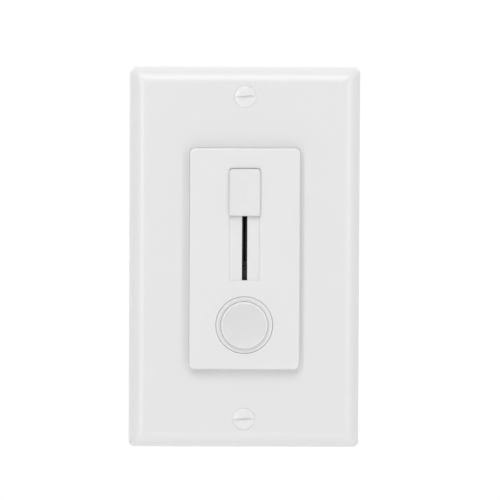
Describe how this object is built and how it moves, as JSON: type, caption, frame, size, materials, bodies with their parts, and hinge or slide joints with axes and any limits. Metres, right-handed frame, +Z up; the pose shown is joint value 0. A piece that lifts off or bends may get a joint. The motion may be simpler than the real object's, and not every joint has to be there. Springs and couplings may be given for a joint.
{
  "type": "dimmer slide switch",
  "caption": "Single-gang slide dimmer with a push on-off button, on a metal strap behind a white wall plate.",
  "frame": {"origin": "middle of the device on the wall's surface, between the two plate screws", "axes": "+Z up, +X right as seen from the room, +Y into the wall"},
  "size_m": [0.069, 0.0392, 0.1142],
  "materials": {
    "plate_plastic": "smooth white moulded plastic, low gloss",
    "cover_plastic": "white moulded plastic, satin",
    "slider_plastic": "white moulded plastic, satin",
    "screw_paint": "white paint over steel",
    "strap_aluminium": "stamped, lightly brushed",
    "zinc_steel": "zinc plated",
    "green_paint": "green plating",
    "spring_steel": "bright wire and sheet",
    "brass": "stamped and turned",
    "housing_plastic": "dark moulded plastic",
    "black_plastic": "black moulded plastic",
    "seal_rubber": "soft black strip",
    "fibre": "pressed fibre",
    "circuit_green": "glass-filled board under solder mask",
    "phenolic": "brown laminate",
    "acetal": "waxy off-white",
    "ferrite": "painted powder core",
    "enamel_copper": "enamelled copper wire",
    "film_yellow": "moulded box",
    "resistor_tan": "lacquered",
    "glass_blue": "glossy moulding",
    "mica": "thin mica sheet"
  },
  "bodies": {
    "base": {"box_screw_bottom": "zinc_steel", "box_screw_top": "zinc_steel", "button_spring": "spring_steel", "choke_core": "ferrite", "choke_winding": "enamel_copper", "circuit_board": "circuit_green", "diac": "glass_blue", "dust_seal": "seal_rubber", "electrolytic_capacitor": "black_plastic", "film_capacitor_large": "film_yellow", "film_capacitor_small": "film_yellow", "fixed_contact_left": "brass", "fixed_contact_right": "brass", "front_cover": "cover_plastic", "ground_screw": "green_paint", "housing_rivet_1": "zinc_steel", "housing_rivet_2": "zinc_steel", "housing_rivet_3": "zinc_steel", "housing_rivet_4": "zinc_steel", "mounting_strap": "strap_aluminium", "plate_screw_bottom": "screw_paint", "plate_screw_top": "screw_paint", "pot_case": "zinc_steel", "pot_track_board": "phenolic", "rear_housing": "housing_plastic", "resistor_1": "resistor_tan", "resistor_2": "resistor_tan", "resistor_3": "resistor_tan", "screw_retainer_bottom": "fibre", "screw_retainer_top": "fibre", "switch_body": "black_plastic", "terminal_bracket_1": "brass", "terminal_bracket_2": "brass", "terminal_bracket_3": "brass", "terminal_plate_1": "brass", "terminal_plate_2": "brass", "terminal_plate_3": "brass", "terminal_screw_1": "brass", "terminal_screw_2": "brass", "terminal_screw_3": "brass", "triac": "black_plastic", "triac_insulator": "mica", "triac_rivet": "zinc_steel", "trimmer": "glass_blue", "wall_plate": "plate_plastic"},
    "slider": {"slider_cap": "slider_plastic", "pot_lever": "spring_steel", "pot_slider_block": "acetal", "pot_wiper": "brass"},
    "button": {"button_cap": "cover_plastic", "switch_plunger": "acetal", "contact_bridge": "brass"},
    "latch": {"latch_pin": "spring_steel"}
  },
  "joints": [
    {"name": "slider_travel", "type": "slide", "parent": "base", "child": "slider", "axis": [0, 0, -1], "range_m": [0, 0.0189]},
    {"name": "button_push", "type": "slide", "parent": "base", "child": "button", "axis": [0, 1, 0], "range_m": [0, 0.0022], "stiffness_N_per_m": 800, "springref_m": -0.002, "deforming": ["button_spring"]},
    {"name": "latch_rock", "type": "hinge", "parent": "base", "child": "latch", "pos_m": [0, 0.0096, -0.01985], "axis": [-1, 0, 0], "range_deg": [0, 10]}
  ],
  "couplings": [
    {"joint": "latch_rock", "follows": "button_push", "rad_per_m": 79}
  ]
}
